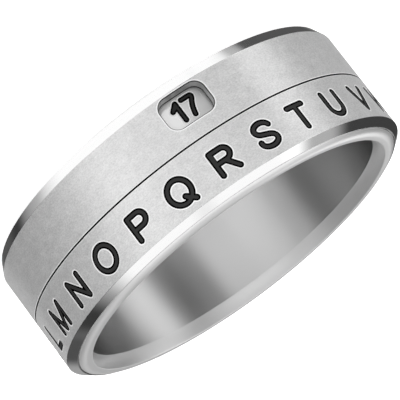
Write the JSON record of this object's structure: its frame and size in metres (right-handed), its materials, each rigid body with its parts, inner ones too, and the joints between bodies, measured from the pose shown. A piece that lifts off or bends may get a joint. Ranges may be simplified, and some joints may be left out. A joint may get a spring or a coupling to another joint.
{
  "type": "decoder ring",
  "caption": "Steel finger ring with a turning alphabet band and a turning window band over a numbered sleeve, for shift ciphers.",
  "frame": {"origin": "centre of the ring on the plane of its back edge, which it rests on", "axes": "+Z along the finger axis from the window side to the letter side; -Y through the window"},
  "size_m": [0.024, 0.024, 0.008],
  "materials": {
    "polished_steel": "stainless steel, polished bore and number track, fine satin lips",
    "satin_steel": "stainless steel, satin outside with polished bevels",
    "black_fill": "black enamel fill in engraved letters and numbers"
  },
  "bodies": {
    "core": {"core_sleeve": "polished_steel", "retaining_collar": "polished_steel"},
    "letters": {"letter_band": "satin_steel"},
    "window": {"window_band": "satin_steel"}
  },
  "joints": [
    {"name": "letter_turn", "type": "hinge", "parent": "core", "child": "letters", "pos_m": [0, 0, 0], "axis": [0, 0, 1], "continuous": true},
    {"name": "window_turn", "type": "hinge", "parent": "core", "child": "window", "pos_m": [0, 0, 0], "axis": [0, 0, 1], "continuous": true}
  ]
}
